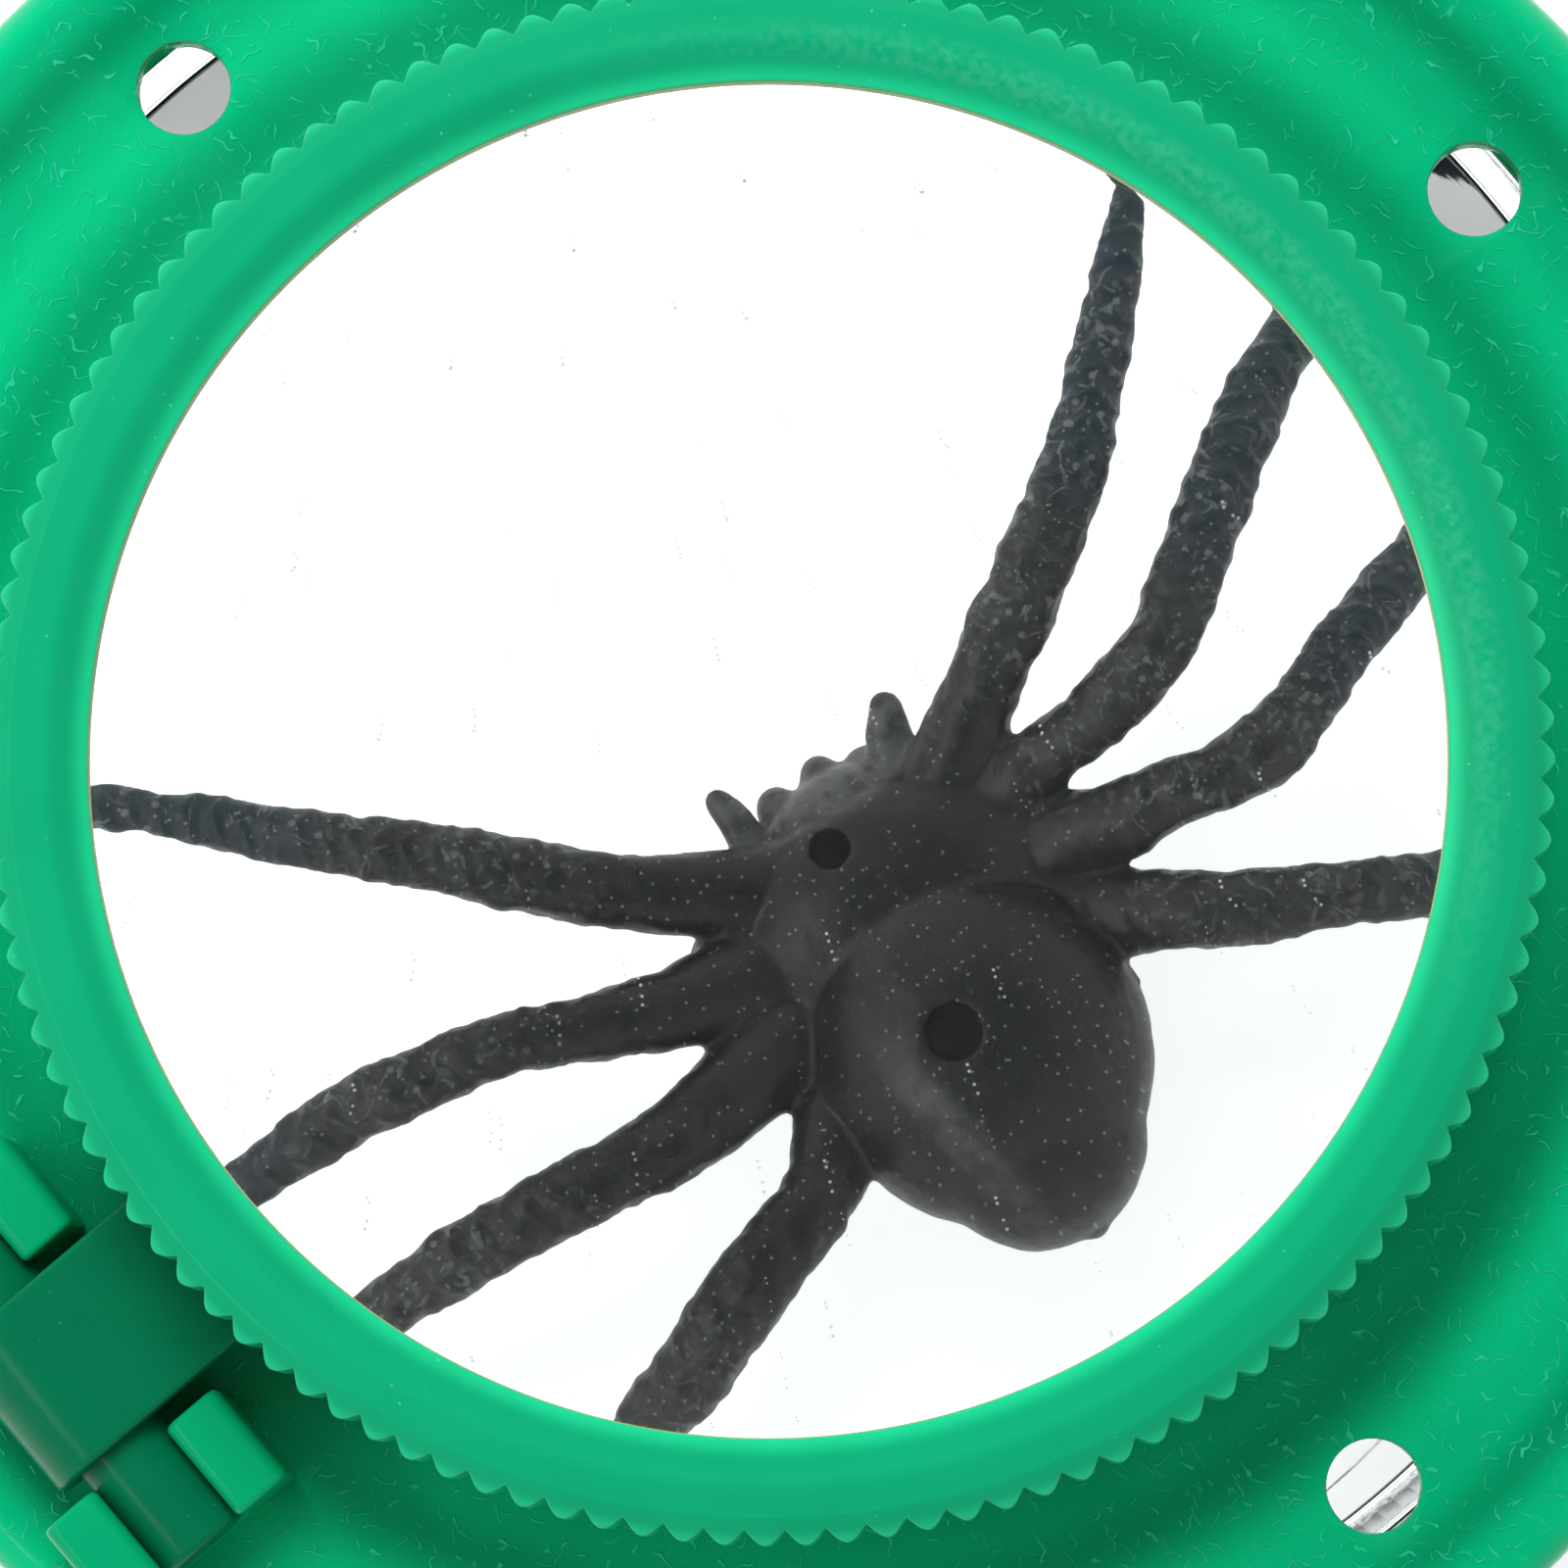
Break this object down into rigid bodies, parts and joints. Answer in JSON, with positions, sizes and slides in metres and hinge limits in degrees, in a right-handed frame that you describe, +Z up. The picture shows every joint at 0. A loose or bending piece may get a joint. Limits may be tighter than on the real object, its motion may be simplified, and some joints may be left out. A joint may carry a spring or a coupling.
{
  "type": "bug catcher jar",
  "caption": "Clear cup with a press-on vented green lid, a lens fixed in the lid, a second lens in a knurled ring that flips up on a clip-in hinge, and a loose toy spider inside.",
  "frame": {"origin": "centre of the underside of the jar, on the surface it stands on", "axes": "+Z up along the jar's axis, +Y to the hinge at the back, +X to the right seen from the front"},
  "size_m": [0.07, 0.07, 0.0765],
  "materials": {
    "clear_cup": "clear, glossy",
    "clear_lens": "clear, polished",
    "green_lid": "translucent emerald, fine crinkle grain on its top, glossy",
    "green_frame": "translucent emerald, smooth and glossy",
    "green_ring": "translucent emerald, smooth satin",
    "black_toy": "soft black plastic, moulded hair grain, low gloss"
  },
  "bodies": {
    "jar": {"jar": "clear_cup"},
    "lid": {"lid": "green_lid", "fixed_lens": "clear_lens"},
    "flip_lens": {"lens_frame": "green_frame", "flip_lens": "clear_lens", "knurled_ring": "green_ring"},
    "spider": {"toy_spider": "black_toy"}
  },
  "joints": [
    {"name": "lid_lift", "type": "slide", "parent": "jar", "child": "lid", "axis": [0, 0, 1], "range_m": [0, 0.05]},
    {"name": "lens_flip", "type": "hinge", "parent": "lid", "child": "flip_lens", "pos_m": [0, 0.02925, 0.0683], "axis": [-1, 0, 0], "range_deg": [0, 160]},
    {"name": "spider_lift", "type": "slide", "parent": "jar", "child": "spider", "axis": [0, 0, 1], "range_m": [0, 0.05]}
  ]
}
